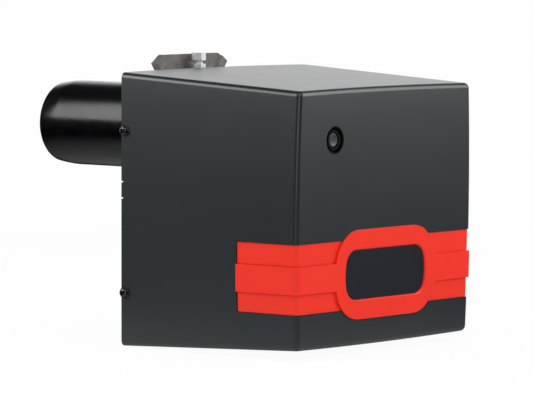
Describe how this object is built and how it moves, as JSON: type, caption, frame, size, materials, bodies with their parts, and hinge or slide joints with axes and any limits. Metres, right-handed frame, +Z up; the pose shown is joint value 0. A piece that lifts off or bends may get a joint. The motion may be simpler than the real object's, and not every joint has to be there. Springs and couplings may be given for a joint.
{
  "type": "light-oil burner",
  "caption": "Compact oil burner with a tapered black cover, red wrap-round trim, sliding boiler flange, blast tube, fan, pump, nozzle line and reset button.",
  "frame": {"origin": "on the blast tube's axis, at the boiler-side face of the sliding flange", "axes": "+Y along the blast tube into the boiler, +Z up, +X to the right seen from the badge side"},
  "size_m": [0.306, 0.4377, 0.2956],
  "materials": {
    "cast_metal": "cast, lightly machined",
    "zinc_steel": "zinc plated",
    "black_steel": "satin black",
    "black_screw": "black zinc",
    "black_enamel": "gloss black heat-proof",
    "cast_aluminium": "as cast",
    "galvanised_sheet": "galvanised",
    "motor_paint": "dark grey",
    "white_plastic": "matt",
    "black_plastic": "matt",
    "brass": "machined",
    "heat_steel": "heat-resisting",
    "ceramic": "glazed ceramic",
    "transformer_case": "potted",
    "silicone_lead": "silicone",
    "copper": "drawn copper",
    "control_plastic": "dark grey",
    "bright_steel": "ground",
    "coupling_plastic": "moulded",
    "button_plastic": "translucent grey",
    "cover_plastic": "fine-grained black",
    "red_plastic": "satin red",
    "badge_black": "smooth black, bare"
  },
  "bodies": {
    "boiler_flange": {"boiler_flange": "cast_metal", "flange_set_screw": "zinc_steel", "flange_lock_nut": "zinc_steel"},
    "burner": {"rear_plate": "black_steel", "weld_nuts": "zinc_steel", "cover_screws": "black_screw", "blast_tube": "black_enamel", "tube_screws": "zinc_steel", "fan_housing": "cast_aluminium", "motor_side_plate": "galvanised_sheet", "chamber_door": "galvanised_sheet", "door_screws": "zinc_steel", "motor_housing": "motor_paint", "motor_end_cap": "cast_aluminium", "motor_capacitor": "white_plastic", "air_case": "black_plastic", "damper_scale": "galvanised_sheet", "oil_pump": "cast_aluminium", "oil_pump_cover": "cast_aluminium", "pump_screws": "zinc_steel", "pressure_screw": "brass", "solenoid_stem": "zinc_steel", "solenoid_coil": "black_plastic", "nozzle_holder": "zinc_steel", "nozzle": "brass", "diffuser_disc": "heat_steel", "diffuser_support": "heat_steel", "electrode_insulators": "ceramic", "electrode_rods": "heat_steel", "electrode_clamp": "zinc_steel", "photocell": "black_plastic", "ignition_transformer": "transformer_case", "ignition_leads": "silicone_lead", "oil_pipe": "copper", "pipe_unions": "brass", "control_box": "control_plastic", "control_box_base": "black_plastic", "terminal_block": "white_plastic", "cable_gland": "black_plastic"},
    "fan": {"motor_shaft": "bright_steel", "fan_wheel": "galvanised_sheet", "pump_coupling": "coupling_plastic", "pump_shaft": "bright_steel"},
    "damper": {"air_damper": "galvanised_sheet", "damper_spindle": "bright_steel", "damper_lever": "coupling_plastic"},
    "button": {"reset_button": "button_plastic"},
    "cover": {"cover_shell": "cover_plastic", "trim_band": "red_plastic", "trim_frame": "red_plastic", "badge_plate": "badge_black", "button_sleeve": "black_plastic"}
  },
  "joints": [
    {"name": "insertion_slide", "type": "slide", "parent": "boiler_flange", "child": "burner", "axis": [0, 1, 0], "range_m": [-0.1, 0.006]},
    {"name": "fan_spin", "type": "hinge", "parent": "burner", "child": "fan", "pos_m": [0, -0.14, -0.108], "axis": [1, 0, 0], "continuous": true},
    {"name": "damper_turn", "type": "hinge", "parent": "burner", "child": "damper", "pos_m": [-0.054, -0.14, -0.1445], "axis": [0, 1, 0], "range_deg": [0, 90]},
    {"name": "reset_press", "type": "slide", "parent": "burner", "child": "button", "axis": [0, 1, 0], "range_m": [0, 0.003], "stiffness_N_per_m": 600, "springref_m": -0.002},
    {"name": "cover_slide", "type": "slide", "parent": "burner", "child": "cover", "axis": [0, -1, 0], "range_m": [0, 0.24]}
  ]
}
